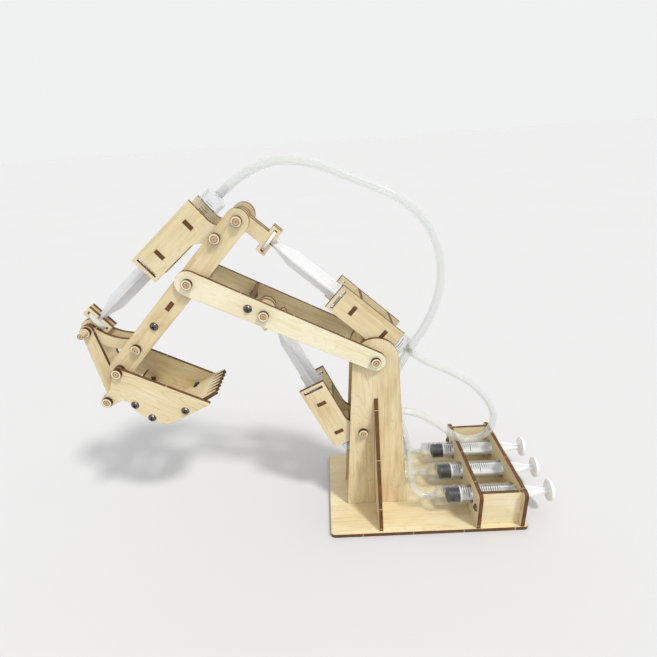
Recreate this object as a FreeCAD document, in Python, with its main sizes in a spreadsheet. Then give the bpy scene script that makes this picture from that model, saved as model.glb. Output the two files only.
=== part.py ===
"""Hydraulic arm kit: a laser-cut plywood excavator arm driven by syringes.

Millimetres, +Z up. The arm works in the XZ plane and reaches towards -X; the
hand syringes stand at +X. The origin is on the underside of the base plate,
right below the boom pivot, in the arm's middle plane, so near pieces have
negative Y and far pieces positive Y.
"""
import FreeCAD, Part
import math
import os
import Sketcher
from FreeCAD import Placement, Rotation, Vector

doc = FreeCAD.newDocument("hydraulic_arm_kit")

# ---------------------------------------------------------------- dimensions
CELLS = {
    # sheet and hardware
    "ply": 2.8, "gap": 0.2, "pin_rad": 2.0, "hole_rad": 2.05, "ring_rad": 3.4,
    "bolt_rad": 1.45, "bolt_hole": 1.6, "bolt_len": 10.0, "head_rad": 2.9,
    "head_tall": 2.0, "nut_flat": 5.5, "nut_tall": 2.4,
    "wood_rad": 0.9, "pilot_rad": 0.95, "wood_len": 8.0,
    # inner faces of the plate layers, measured from the arm's middle plane
    "cheek_in": 1.4, "rocker_in": 4.4, "link_in": 7.4, "housing_in": 10.4,
    "stick_in": 13.35, "boom_in": 16.35, "bucket_in": 19.2,
    # base plate and tower
    "base_left": -37.2, "base_right": 107.2, "base_half": 49.2, "base_round": 3.0,
    "pivot_z": 128.0, "tower_foot": 23.5, "tower_top": 15.8,
    "ram_pivot_x": -9.6, "ram_pivot_z": 70.0,
    "rib_tall": 95.0, "rib_deep": 31.0, "rib_toe": 3.5, "tab": 8.0,
    "spreader_x": -15.0, "spreader_tall": 26.0,
    # control box
    "box_left": 69.3, "box_right": 101.0, "box_half": 48.8, "box_tall": 29.4,
    "box_end_y": 43.0, "box_end_tall": 28.2, "bolt_z": 17.5,
    "syringe_z": 17.7, "syringe_pitch": 28.3, "flange_x": 103.9,
    # syringe, 5 ml
    "barrel_rad": 7.15, "bore_rad": 6.2, "barrel_len": 60.0, "shoulder": 2.2,
    "nozzle_rad": 2.1, "nozzle_bore": 1.0, "nozzle_len": 7.5,
    "flange_long": 25.8, "flange_wide": 14.3, "flange_thick": 1.8,
    "thumb_rad": 8.0, "thumb_thick": 1.8, "rod_len": 66.6, "rod_rib": 1.4,
    "rod_wide": 11.4, "rod_neck": 5.0, "rod_taper": 12.0,
    "seal_rad": 6.15, "seal_len": 8.2, "seal_cone": 2.0,
    # syringe housing, along it from its mouth and across it from its outer edge
    "house_len": 53.5, "house_wide": 19.0, "slit_at": 3.3, "slit_long": 14.6,
    "slit_wide": 2.0, "frame_one": 15.7, "frame_two": 42.6, "frame_tab": 6.8,
    "house_pin_at": 49.8, "house_pin_off": 25.8, "ear_rad": 6.8,
    # boom, from its tower pivot
    "boom_angle": 152.5, "boom_len": 132.7, "boom_foot_rad": 6.9,
    "boom_head_rad": 8.2, "boom_ram_at": 81.3, "boom_cross_at": 92.3,
    # stick, from its top pin
    "stick_angle": 224.8, "stick_half": 7.5, "stick_boom_at": 50.4,
    "stick_house_at": 16.8, "stick_house_off": 3.7, "stick_tab_at": 71.5,
    "stick_bolt_at": 90.1, "stick_rocker_at": 111.6, "stick_len": 132.1,
    # bucket, from its pin on the stick, with x along its top edge
    "bucket_angle": -27.6, "ear_x": -0.7, "ear_y": -24.4,
    # linkage between the bucket ram and the bucket
    "rod_pin_x": -194.8, "rod_pin_z": 158.4, "link_half": 4.2, "link_foot": 5.4,
    "rocker_half": 4.1, "rocker_sag": 4.4,
    # clevises: pin to thumb slot, the head block, and pin clearance
    "slot_boom": 10.5, "slot_stick": 22.4, "slot_bucket": 8.7,
    "clevis_half": 9.8, "clevis_front": 3.3, "clevis_back": 3.4,
    "clevis_neck": 4.6, "clevis_eye": 6.2, "clear_boom": 2.9,
    "clear_stick": 3.75, "clear_bucket": 3.0, "clear_link": 3.45,
    "hose_rad": 2.75, "hose_bore": 2.15,
}

sheet = doc.addObject("Spreadsheet::Sheet", "Sheet")
for row, (alias, number) in enumerate(CELLS.items(), start=1):
    sheet.set("A%d" % row, alias)
    sheet.set("B%d" % row, str(number))
    sheet.setAlias("B%d" % row, alias)
doc.recompute()


class Size:
    """A number that keeps the sheet expression that it comes from."""

    def __init__(self, value, text):
        self.value, self.text = value, text

    @staticmethod
    def of(other):
        return other if isinstance(other, Size) else Size(other, repr(float(other)))

    def _join(self, other, sign, value):
        return Size(value, "(%s %s %s)" % (self.text, sign, Size.of(other).text))

    def __add__(self, other):
        return self._join(other, "+", self.value + Size.of(other).value)

    def __sub__(self, other):
        return self._join(other, "-", self.value - Size.of(other).value)

    def __mul__(self, other):
        return self._join(other, "*", self.value * Size.of(other).value)

    def __truediv__(self, other):
        return self._join(other, "/", self.value / Size.of(other).value)

    def __neg__(self):
        return Size(-self.value, "(0 - %s)" % self.text)

    def __radd__(self, other):
        return Size.of(other) + self

    def __rsub__(self, other):
        return Size.of(other) - self

    __rmul__ = __mul__


class Cells:
    """Every driving dimension of the sheet, by its alias."""


c = Cells()
for alias in CELLS:
    setattr(c, alias, Size(float(sheet.get(alias)), "Sheet." + alias))


def number(size):
    return Size.of(size).value


def bind(obj, prop, size):
    """Bind a property to the sheet, or set it where the size is a plain number."""
    if isinstance(size, Size):
        obj.setExpression(prop, size.text)


# -------------------------------------------------------------- sketch tools
def arc_between(start, end, radius, turn, large=False):
    """Arc from start to end; turn is 1 anticlockwise and -1 clockwise."""
    (x0, y0), (x1, y1) = start, end
    chord = math.hypot(x1 - x0, y1 - y0)
    radius = max(radius, chord / 2)
    rise = math.sqrt(max(radius ** 2 - chord ** 2 / 4, 0.0)) * (-1 if large else 1)
    mid_x, mid_y = (x0 + x1) / 2, (y0 + y1) / 2
    nx, ny = -(y1 - y0) / chord * turn, (x1 - x0) / chord * turn
    cx, cy = mid_x + nx * rise, mid_y + ny * rise
    mid = Vector(cx - nx * radius, cy - ny * radius, 0)
    return Part.Arc(Vector(x0, y0, 0), mid, Vector(x1, y1, 0))


def fix_point(sketch, geo, pos, x, y):
    """Dimension one point of the sketch from its origin."""
    for kind, size in (("DistanceX", x), ("DistanceY", y)):
        index = sketch.addConstraint(
            Sketcher.Constraint(kind, -1, 1, geo, pos, number(size)))
        bind(sketch, "Constraints[%d]" % index, size)


def fix_radius(sketch, geo, radius):
    index = sketch.addConstraint(Sketcher.Constraint("Radius", geo, number(radius)))
    bind(sketch, "Constraints[%d]" % index, radius)


def add_loop(sketch, loop):
    """A closed outline: (x, y) points; (x, y, radius, turn[, large]) starts an arc."""
    points = [(number(p[0]), number(p[1])) for p in loop]
    count, first = len(loop), None
    ids = []
    for i, point in enumerate(loop):
        start, end = points[i], points[(i + 1) % count]
        if len(point) > 2:
            shape = arc_between(start, end, number(point[2]), point[3], point[4:] == (True,))
        else:
            shape = Part.LineSegment(Vector(*start, 0), Vector(*end, 0))
        ids.append(sketch.addGeometry(shape, False))
    ends = []
    for i, geo in enumerate(ids):
        arc = len(loop[i]) > 2
        backwards = arc and loop[i][3] < 0
        ends.append((2, 1) if backwards else (1, 2))
    for i, geo in enumerate(ids):
        after = (i + 1) % count
        sketch.addConstraint(Sketcher.Constraint(
            "Coincident", geo, ends[i][1], ids[after], ends[after][0]))
        fix_point(sketch, geo, ends[i][0], loop[i][0], loop[i][1])
        if len(loop[i]) > 2:
            fix_radius(sketch, geo, loop[i][2])


def add_circle(sketch, x, y, radius):
    geo = sketch.addGeometry(Part.Circle(
        Vector(number(x), number(y), 0), Vector(0, 0, 1), number(radius)), False)
    fix_point(sketch, geo, 3, x, y)
    fix_radius(sketch, geo, radius)


def add_bar(sketch, length, rad_start, rad_end):
    """A straight bar with round ends, tapered where its two radii differ."""
    size, r0, r1 = number(length), number(rad_start), number(rad_end)
    lean = math.acos((r0 - r1) / size)
    top0 = Vector(r0 * math.cos(lean), r0 * math.sin(lean), 0)
    top1 = Vector(size + r1 * math.cos(lean), r1 * math.sin(lean), 0)
    low0, low1 = Vector(top0.x, -top0.y, 0), Vector(top1.x, -top1.y, 0)
    start = sketch.addGeometry(Part.Arc(top0, Vector(-r0, 0, 0), low0), False)
    under = sketch.addGeometry(Part.LineSegment(low0, low1), False)
    end = sketch.addGeometry(Part.Arc(low1, Vector(size + r1, 0, 0), top1), False)
    over = sketch.addGeometry(Part.LineSegment(top1, top0), False)
    for one, pos_one, two, pos_two in ((start, 2, under, 1), (under, 2, end, 1),
                                       (end, 2, over, 1), (over, 2, start, 1)):
        sketch.addConstraint(Sketcher.Constraint("Tangent", one, pos_one, two, pos_two))
    fix_point(sketch, start, 3, 0, 0)
    fix_point(sketch, end, 3, length, 0)
    fix_radius(sketch, start, rad_start)
    fix_radius(sketch, end, rad_end)


def box_loop(x, y, wide, tall):
    """A rectangle about its centre."""
    half_x, half_y = wide * 0.5, tall * 0.5
    return [(x - half_x, y - half_y), (x + half_x, y - half_y),
            (x + half_x, y + half_y), (x - half_x, y + half_y)]


def round_box(x0, y0, x1, y1, radius):
    """A rectangle from corner to corner with round corners."""
    return [(x0 + radius, y0), (x1 - radius, y0, radius, 1), (x1, y0 + radius),
            (x1, y1 - radius, radius, 1), (x1 - radius, y1), (x0 + radius, y1, radius, 1),
            (x0, y1 - radius), (x0, y0 + radius, radius, 1)]


def tee_slot(place):
    """Outline of a captive-nut slot; place maps (along edge, depth) to the sheet."""
    half_nut = c.nut_flat * 0.5 + 0.1
    shallow, deep = c.nut_tall + 0.2, c.nut_tall * 2 + 0.4
    end = c.bolt_len - c.ply + 0.4
    steps = [(c.bolt_hole, 0), (c.bolt_hole, shallow), (half_nut, shallow),
             (half_nut, deep), (c.bolt_hole, deep), (c.bolt_hole, end)]
    left = [place(-along, depth) for along, depth in steps]
    right = [place(along, depth) for along, depth in reversed(steps)]
    return left + right


# ---------------------------------------------------------------- part tools
PARTS = {}


def plane_of(body, role):
    return next(f for f in body.Origin.OriginFeatures if f.Role == role)


def new_sketch(body, role, name, offset=0.0):
    sketch = body.newObject("Sketcher::SketchObject", name)
    sketch.AttachmentSupport = (plane_of(body, role), [""])
    sketch.MapMode = "FlatFace"
    sketch.AttachmentOffset = Placement(Vector(0, 0, number(offset)), Rotation())
    return sketch


def set_place(obj, at, angle=0.0):
    """Move an object to a point, turned in the XZ plane by an angle from +X."""
    x, y, z = at
    obj.Placement = Placement(Vector(number(x), number(y), number(z)),
                              Rotation(Vector(0, 1, 0), -number(angle)))
    for axis, size in zip("xyz", at):
        bind(obj, "Placement.Base." + axis, size)


def plate(label, role, draw, at, angle=0.0, thick=None, keep=True):
    """A flat piece: draw() fills its sketch, which is padded by the ply."""
    body = doc.addObject("PartDesign::Body", label + "_body")
    body.Label = label
    sketch = new_sketch(body, role, label + "_outline")
    draw(sketch)
    pad = body.newObject("PartDesign::Pad", label + "_pad")
    pad.Profile = sketch
    pad.Length = number(thick or c.ply)
    bind(pad, "Length", thick or c.ply)
    set_place(body, at, angle)
    if keep:
        PARTS[label] = body
    return body


def arm_plate(label, draw, top_y, at, angle, keep=True):
    """A plate parallel to the arm, whose far face is at top_y."""
    return plate(label, "XZ_Plane", draw, (at[0], top_y, at[1]), angle, keep=keep)


def group(label, pieces):
    """Several loose solids that share one node."""
    union = doc.addObject("Part::Compound", label + "_group")
    union.Label = label
    union.Links = pieces
    PARTS[label] = union
    return union


def cylinder(name, radius, height, at, axis):
    rod = doc.addObject("Part::Cylinder", name)
    bind(rod, "Radius", radius)
    bind(rod, "Height", height)
    rod.Radius, rod.Height = number(radius), number(height)
    rod.Placement = Placement(Vector(*[number(v) for v in at]),
                              Rotation(Vector(0, 0, 1), Vector(*axis)))
    for letter, size in zip("xyz", at):
        bind(rod, "Placement.Base." + letter, size)
    return rod


def cut(name, base, tool):
    result = doc.addObject("Part::Cut", name)
    result.Base, result.Tool = base, tool
    return result


def ring(name, at, side, inner=None, outer=None):
    """A flat ring whose inner face is at the point; side is -1 near or 1 far."""
    inner, outer = inner or c.hole_rad, outer or c.ring_rad
    way = (0, side, 0)
    return cut(name, cylinder(name + "_rim", outer, c.ply, at, way),
               cylinder(name + "_eye", inner, c.ply, at, way))


def dowel(name, half, x, z):
    """A round pin across the arm, centred on its middle plane."""
    return cylinder(name, c.pin_rad, half * 2, (x, -half, z), (0, 1, 0))


def bolt(name, at, axis, shank_rad=None, shank_len=None):
    """A cross-recess screw; the point is under its head, axis goes into the wood."""
    shank_rad, shank_len = shank_rad or c.bolt_rad, shank_len or c.bolt_len
    ax = Vector(*axis)
    base = Vector(*[number(v) for v in at])
    radius, tall = number(c.head_rad), number(c.head_tall)
    dome = (radius ** 2 + tall ** 2) / (2 * tall)
    ball = Part.makeSphere(dome, base + ax * (dome - tall))
    head = Part.makeCylinder(radius, tall, base, ax * -1).common(ball)
    shank = Part.makeCylinder(number(shank_rad), number(shank_len), base, ax)
    side = Vector(0, 0, 1)
    for along, across in ((side, ax.cross(side)), (ax.cross(side), side)):
        top = base - ax * (tall + 0.1)
        corners = [top + along * (1.6 * a) + across * (0.35 * b)
                   for a, b in ((-1, -1), (1, -1), (1, 1), (-1, 1), (-1, -1))]
        head = head.cut(Part.Face(Part.makePolygon(corners)).extrude(ax * 1.2))
    screw = doc.addObject("Part::Feature", name)
    screw.Shape = head.fuse(shank).removeSplitter()
    return screw


def nut(name, at, axis, flat_dir):
    """A hexagon nut in its slot, round the screw that starts at the point."""
    ax, flat = Vector(*axis), Vector(*flat_dir)
    side = ax.cross(flat)
    reach = number(c.nut_flat) / math.sqrt(3)
    base = Vector(*[number(v) for v in at]) + ax * number(c.ply + c.nut_tall + 0.3)
    corners = [base + (side * math.cos(t) + flat * math.sin(t)) * reach
               for t in [math.pi / 3 * k for k in range(7)]]
    hexagon = Part.Face(Part.makePolygon(corners)).extrude(ax * number(c.nut_tall))
    hole = Part.makeCylinder(number(c.bolt_rad), number(c.nut_tall) + 2, base - ax, ax)
    hex_nut = doc.addObject("Part::Feature", name)
    hex_nut.Shape = hexagon.cut(hole)
    return hex_nut


def polar(x, z, along, angle, off=0.0):
    """The point that lies along a direction, and off to its left, from (x, z)."""
    turn = math.radians(number(angle))
    along, off = number(along), number(off)
    return (number(x) + along * math.cos(turn) - off * math.sin(turn),
            number(z) + along * math.sin(turn) + off * math.cos(turn))


# ------------------------------------------------------- pivots in the XZ plane
BOOM_FOOT = (0.0, number(c.pivot_z))
RAM_PIVOT = (number(c.ram_pivot_x), number(c.ram_pivot_z))
BOOM_RAM_PIN = polar(*BOOM_FOOT, c.boom_ram_at, c.boom_angle)
BOOM_HEAD = polar(*BOOM_FOOT, c.boom_len, c.boom_angle)
STICK_TOP = polar(*BOOM_HEAD, -c.stick_boom_at, c.stick_angle)
STICK_HOUSE_PIN = polar(*STICK_TOP, c.stick_house_at, c.stick_angle, -c.stick_house_off)
ROCKER_PIN = polar(*STICK_TOP, c.stick_rocker_at, c.stick_angle)
BUCKET_PIN = polar(*STICK_TOP, c.stick_len, c.stick_angle)
BUCKET_EAR = polar(*BUCKET_PIN, c.ear_x, c.bucket_angle, c.ear_y)
ROD_PIN = (number(c.rod_pin_x), number(c.rod_pin_z))


def heading(start, end):
    return math.degrees(math.atan2(end[1] - start[1], end[0] - start[0]))


def ram_frame(pivot, rod_pin, side):
    """Mouth corner and direction of a housing on its pivot that aims at a rod pin.

    side is 1 where the ear lies to the right of the way from mouth to tail, else -1.
    """
    offset = number(c.house_pin_off) - number(c.house_wide) / 2
    reach = math.dist(pivot, rod_pin)
    aim = heading(pivot, rod_pin) + side * math.degrees(math.asin(offset / reach))
    back = aim + 180.0
    corner = polar(*pivot, -c.house_pin_at, back, side * c.house_pin_off)
    return corner, back


# ------------------------------------------------------------- base and tower
def base_outline(sketch):
    add_loop(sketch, round_box(c.base_left, -c.base_half, c.base_right, c.base_half,
                               c.base_round))
    tab_long, tab_wide = c.tab + 0.2, c.ply + 0.2
    for side in (-1, 1):
        tower_y = (c.stick_in + c.ply * 0.5) * side
        for x in (-c.tower_foot * 0.55, c.tower_foot * 0.55):
            add_loop(sketch, box_loop(x, tower_y, tab_long, tab_wide))
        add_loop(sketch, box_loop(Size.of(0), (c.stick_in + c.ply + c.rib_deep * 0.5) * side,
                                  tab_wide, tab_long))
        for x in (c.box_left, c.box_right):
            add_loop(sketch, box_loop(x + c.ply * 0.5, c.box_half * 0.55 * side,
                                      tab_wide, tab_long))
        add_circle(sketch, (c.box_left + c.box_right + c.ply) * 0.5, c.box_end_y * side,
                   c.bolt_hole)


base = plate("base_sheet", "XY_Plane", base_outline, (0, 0, 0), keep=False)


def tower_outline(sketch):
    """A tapered post with a round top, two foot tabs and the slot of its rib."""
    foot, top, height = c.tower_foot, c.tower_top, c.pivot_z
    lean = math.atan2(number(foot) - number(top), number(height))
    touch = Vector(number(top) * math.cos(lean), number(height)
                   + number(top) * math.sin(lean), 0)
    half_tab, tab_at, slot = c.tab * 0.5, foot * 0.55, c.ply * 0.5 + 0.1
    base = [(-foot, c.ply), (-tab_at - half_tab, c.ply), (-tab_at - half_tab, 0),
            (-tab_at + half_tab, 0), (-tab_at + half_tab, c.ply), (-slot, c.ply),
            (-slot, c.rib_tall + c.ply), (slot, c.rib_tall + c.ply), (slot, c.ply),
            (tab_at - half_tab, c.ply), (tab_at - half_tab, 0), (tab_at + half_tab, 0),
            (tab_at + half_tab, c.ply), (foot, c.ply)]
    ids = [sketch.addGeometry(Part.LineSegment(
        Vector(number(a[0]), number(a[1]), 0), Vector(number(b[0]), number(b[1]), 0)), False)
        for a, b in zip(base, base[1:])]
    for geo, point in zip(ids, base):
        fix_point(sketch, geo, 1, *point)
    fix_point(sketch, ids[-1], 2, *base[-1])
    right = sketch.addGeometry(Part.LineSegment(
        Vector(number(foot), number(c.ply), 0), touch), False)
    arch = sketch.addGeometry(Part.Arc(
        touch, Vector(0, number(height) + number(top), 0), Vector(-touch.x, touch.y, 0)), False)
    left = sketch.addGeometry(Part.LineSegment(
        Vector(-touch.x, touch.y, 0), Vector(-number(foot), number(c.ply), 0)), False)
    for one, two in zip(ids, ids[1:]):
        sketch.addConstraint(Sketcher.Constraint("Coincident", one, 2, two, 1))
    sketch.addConstraint(Sketcher.Constraint("Coincident", ids[-1], 2, right, 1))
    sketch.addConstraint(Sketcher.Constraint("Tangent", right, 2, arch, 1))
    sketch.addConstraint(Sketcher.Constraint("Tangent", arch, 2, left, 1))
    sketch.addConstraint(Sketcher.Constraint("Coincident", left, 2, ids[0], 1))
    fix_point(sketch, arch, 3, 0, height)
    fix_radius(sketch, arch, top)
    add_circle(sketch, 0, height, c.hole_rad)
    add_circle(sketch, c.ram_pivot_x, c.ram_pivot_z, c.hole_rad)


arm_plate("tower_near_plate", tower_outline, -c.stick_in, (0, 0), 0.0)
arm_plate("tower_far_plate", tower_outline, c.stick_in + c.ply, (0, 0), 0.0)


def rib_outline(sketch):
    """A three-cornered buttress, drawn with its root at y = 0 and leaning out to +y."""
    root, reach = c.ply, c.ply + c.rib_deep
    tab_at, half_tab = c.ply + c.rib_deep * 0.5, c.tab * 0.5
    add_loop(sketch, [(0, c.ply), (tab_at - half_tab, c.ply), (tab_at - half_tab, 0),
                      (tab_at + half_tab, 0), (tab_at + half_tab, c.ply), (reach, c.ply),
                      (reach, c.ply + c.rib_toe), (root, c.rib_tall + c.ply - 0.3),
                      (0, c.rib_tall + c.ply - 0.3)])


far_rib = plate("rib_far", "YZ_Plane", rib_outline,
                (-c.ply * 0.5, c.stick_in, 0), keep=False)
near_rib = plate("rib_near", "YZ_Plane", rib_outline, (0, 0, 0), keep=False)
near_rib.Placement = Placement(Vector(number(c.ply) / 2, -number(c.stick_in), 0),
                               Rotation(Vector(0, 0, 1), 180))
group("tower_ribs", [near_rib, far_rib])


def spreader_outline(sketch):
    """An upright cross piece, glued between the two tower plates low down."""
    inner = c.stick_in - 0.02
    add_loop(sketch, [(-inner, 0), (inner, 0), (inner, c.spreader_tall),
                      (-inner, c.spreader_tall)])


plate("tower_spreader", "YZ_Plane", spreader_outline,
      (c.spreader_x - c.ply * 0.5, 0, c.ply))

# ---------------------------------------------------------------- control box
def box_side_outline(sketch):
    """A long wall with three round holes for the hand syringes and two foot tabs."""
    half, top, edge = c.box_half, c.ply + c.box_tall, c.base_round
    tab_at, half_tab = c.box_half * 0.55, c.tab * 0.5
    add_loop(sketch, [
        (-half, c.ply), (-tab_at - half_tab, c.ply), (-tab_at - half_tab, 0),
        (-tab_at + half_tab, 0), (-tab_at + half_tab, c.ply), (tab_at - half_tab, c.ply),
        (tab_at - half_tab, 0), (tab_at + half_tab, 0), (tab_at + half_tab, c.ply),
        (half, c.ply), (half, top - edge, edge, 1), (half - edge, top),
        (edge - half, top, edge, 1), (-half, top - edge)])
    for lane in (-1, 0, 1):
        add_circle(sketch, c.syringe_pitch * lane, c.syringe_z, c.barrel_rad + 0.1)
    for side in (-1, 1):
        add_circle(sketch, c.box_end_y * side, c.bolt_z, c.pilot_rad)


plate("box_left_plate", "YZ_Plane", box_side_outline, (c.box_left, 0, 0))
plate("box_right_plate", "YZ_Plane", box_side_outline, (c.box_right, 0, 0))


def box_end_outline(sketch):
    """A short wall between the long ones."""
    left, right = c.box_left + c.ply, c.box_right
    low, top = c.ply, c.ply + c.box_end_tall
    add_loop(sketch, [(left, low), (right, low), (right, top), (left, top)])


BOX_MID = (number(c.box_left) + number(c.box_right) + number(c.ply)) / 2


def box_end(label, y):
    """A short wall at y with three blind pilot holes for wood screws in its edges."""
    wall = plate(label + "_wall", "XZ_Plane", box_end_outline, (0, c.ply * 0.5 + y, 0),
                 keep=False)
    deep = c.wood_len - c.ply + 0.5
    holes = doc.addObject("Part::MultiFuse", label + "_pilot_holes")
    holes.Shapes = [
        cylinder(label + "_pilot_left", c.pilot_rad, deep,
                 (c.box_left + c.ply, y, c.bolt_z), (1, 0, 0)),
        cylinder(label + "_pilot_right", c.pilot_rad, deep,
                 (c.box_right, y, c.bolt_z), (-1, 0, 0)),
        cylinder(label + "_pilot_under", c.pilot_rad, deep, (BOX_MID, y, c.ply), (0, 0, 1))]
    PARTS[label] = cut(label, wall, holes)


box_end("box_front_plate", -c.box_end_y)
box_end("box_back_plate", c.box_end_y)


def countersink(name, y):
    """The cone that a flush screw head leaves in the underside of the base."""
    cone = doc.addObject("Part::Cone", name)
    for prop, size in (("Radius1", c.head_rad + 0.1), ("Radius2", c.bolt_hole),
                       ("Height", c.head_rad - c.bolt_rad)):
        setattr(cone, prop, number(size))
        bind(cone, prop, size)
    cone.Placement.Base = Vector(BOX_MID, y, 0)
    return cone


def flush_screw(name, y):
    """A screw from below whose cone head is level with the underside of the base."""
    head, root = number(c.head_rad), number(c.bolt_rad)
    screw = doc.addObject("Part::Feature", name)
    cone = Part.makeCone(head, root, head - root, Vector(BOX_MID, y, 0))
    rod = Part.makeCylinder(number(c.wood_rad), number(c.wood_len), Vector(BOX_MID, y, 0))
    screw.Shape = cone.fuse(rod).removeSplitter()
    return screw


seats = doc.addObject("Part::MultiFuse", "base_screw_seats")
seats.Shapes = [countersink("base_seat_near", -number(c.box_end_y)),
                countersink("base_seat_far", number(c.box_end_y))]
PARTS["base_plate"] = cut("base_plate", base, seats)

frame_hardware = []
for side, end in ((-1, "near"), (1, "far")):
    y, z = number(c.box_end_y) * side, number(c.bolt_z)
    for tag, x, way in (("left", c.box_left, 1), ("right", c.box_right + c.ply, -1)):
        frame_hardware.append(bolt("box_screw_%s_%s" % (tag, end), (number(x), y, z),
                                   (way, 0, 0), c.wood_rad, c.wood_len))
    frame_hardware.append(flush_screw("box_screw_under_" + end, y))

group("frame_bolts", frame_hardware)


# ----------------------------------------------------------- paired arm plates
def pair(label, draw, inner, at, angle, keep=True):
    """The near and far plate of one shape, with their inner faces at a level."""
    near = arm_plate(label + "_near", draw, -inner, at, angle, keep=False)
    far = arm_plate(label + "_far", draw, inner + c.ply, at, angle, keep=False)
    return [near, far]


def named_pair(label, draw, inner, at, angle):
    for body, side in zip(pair(label, draw, inner, at, angle), ("near", "far")):
        body.Label = "%s_%s_plate" % (label, side)
        PARTS[body.Label] = body


def pin_set(label, pins):
    """Dowels with the rings on them: each pin is (name, x, z, half length, ring levels)."""
    pieces = []
    for name, (x, z), half, levels in pins:
        pieces.append(dowel(name + "_dowel", half, x, z))
        for level_name, level in levels:
            for side, tag in ((-1, "near"), (1, "far")):
                pieces.append(ring("%s_ring_%s_%s" % (name, level_name, tag),
                                   (x, level * side, z), side, inner=c.pin_rad))
    group(label, pieces)


SHORT, MIDDLE, LONG = Size.of(20.0), Size.of(22.0), Size.of(25.0)
AT_ROCKER = ("inner", c.housing_in - 0.05)
AT_STICK = ("outer", c.stick_in + c.ply + 0.15)
AT_BOOM = ("outer", c.boom_in + c.ply + 0.15)
AT_BUCKET = ("outer", c.bucket_in + c.ply + 0.15)
AT_SPACER = ("spacer", c.stick_in + c.ply + 0.15)

pin_set("tower_pins", [("boom_pivot", BOOM_FOOT, MIDDLE, [AT_BOOM]),
                       ("ram_pivot", RAM_PIVOT, SHORT, [AT_STICK])])


def screws(label, spots, inner, angles):
    """Screws and nuts at spots of a pair of plates, one from each side."""
    pieces = []
    face = number(inner) + number(c.ply)
    for i, (x, z) in enumerate(spots):
        turn = math.radians(angles[i])
        flat = (math.cos(turn), 0, math.sin(turn))
        for side in (-1, 1):
            tag = "%d_%s" % (i + 1, "near" if side < 0 else "far")
            at, axis = (x, face * side, z), (0, -side, 0)
            pieces += [bolt("%s_screw_%s" % (label, tag), at, axis),
                       nut("%s_nut_%s" % (label, tag), at, axis, flat)]
    group(label, pieces)


# ------------------------------------------------------------------------ boom
def boom_outline(sketch):
    add_bar(sketch, c.boom_len, c.boom_foot_rad, c.boom_head_rad)
    for along, radius in ((0, c.hole_rad), (c.boom_ram_at, c.hole_rad),
                          (c.boom_cross_at, c.bolt_hole), (c.boom_len, c.hole_rad)):
        add_circle(sketch, along, 0, radius)


def boom_cross_outline(sketch):
    """A cross piece square to the boom, with a captive nut at each end."""
    share = c.boom_cross_at / c.boom_len
    half = c.boom_foot_rad + (c.boom_head_rad - c.boom_foot_rad) * share - 0.1
    edge = c.boom_in
    loop = [(-edge, -half), (edge, -half)]
    loop += tee_slot(lambda along, depth: (edge - depth, along))
    loop += [(edge, half), (-edge, half)]
    loop += tee_slot(lambda along, depth: (depth - edge, -along))
    add_loop(sketch, loop)


BOOM_ANGLE = number(c.boom_angle)
named_pair("boom", boom_outline, c.boom_in, BOOM_FOOT, BOOM_ANGLE)
cross_x, cross_z = polar(*BOOM_FOOT, c.boom_cross_at - c.ply * 0.5, BOOM_ANGLE)
cross = plate("boom_cross_plate", "YZ_Plane", boom_cross_outline,
              (cross_x, 0, cross_z), BOOM_ANGLE)
screws("boom_bolts", [polar(*BOOM_FOOT, c.boom_cross_at, BOOM_ANGLE)], c.boom_in,
       [BOOM_ANGLE + 90])
pin_set("boom_pins", [("boom_ram", BOOM_RAM_PIN, MIDDLE, [AT_BOOM]),
                      ("boom_head", BOOM_HEAD, MIDDLE, [AT_BOOM])])


# ----------------------------------------------------------------------- stick
def stick_outline(sketch):
    add_bar(sketch, c.stick_len, c.stick_half, c.stick_half)
    for along in (0, c.stick_boom_at, c.stick_rocker_at, c.stick_len):
        add_circle(sketch, along, 0, c.hole_rad)
    add_circle(sketch, c.stick_house_at, -c.stick_house_off, c.hole_rad)
    add_circle(sketch, c.stick_bolt_at, 0, c.bolt_hole)
    add_loop(sketch, box_loop(c.stick_tab_at, Size.of(0), c.tab * 0.9, c.ply + 0.1))


def stick_cross_outline(sketch):
    """A cross piece along the stick, with a tab and a captive nut on each side."""
    edge, low, high = c.stick_in, c.stick_tab_at - 7.0, c.stick_bolt_at + 7.0
    tab_half = c.tab * 0.45 - 0.1
    low_tab, high_tab = c.stick_tab_at - tab_half, c.stick_tab_at + tab_half
    outer = edge + c.ply
    loop = [(low, -edge), (low_tab, -edge), (low_tab, -outer), (high_tab, -outer),
            (high_tab, -edge)]
    loop += tee_slot(lambda along, depth: (c.stick_bolt_at + along, depth - edge))
    loop += [(high, -edge), (high, edge)]
    loop += tee_slot(lambda along, depth: (c.stick_bolt_at - along, edge - depth))
    loop += [(high_tab, edge), (high_tab, outer), (low_tab, outer), (low_tab, edge),
             (low, edge)]
    add_loop(sketch, loop)


STICK_ANGLE = number(c.stick_angle)
named_pair("stick", stick_outline, c.stick_in, STICK_TOP, STICK_ANGLE)
cross_x, cross_z = polar(*STICK_TOP, 0, STICK_ANGLE, -c.ply * 0.5)
plate("stick_cross_plate", "XY_Plane", stick_cross_outline,
      (cross_x, 0, cross_z), STICK_ANGLE)
screws("stick_bolts", [polar(*STICK_TOP, c.stick_bolt_at, STICK_ANGLE)], c.stick_in,
       [STICK_ANGLE])
pin_set("stick_pins", [("stick_top", STICK_TOP, SHORT, [AT_STICK]),
                       ("bucket_ram", STICK_HOUSE_PIN, SHORT, [AT_STICK]),
                       ("rocker", ROCKER_PIN, SHORT, [AT_STICK]),
                       ("bucket", BUCKET_PIN, LONG, [AT_SPACER, AT_BUCKET])])

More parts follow.
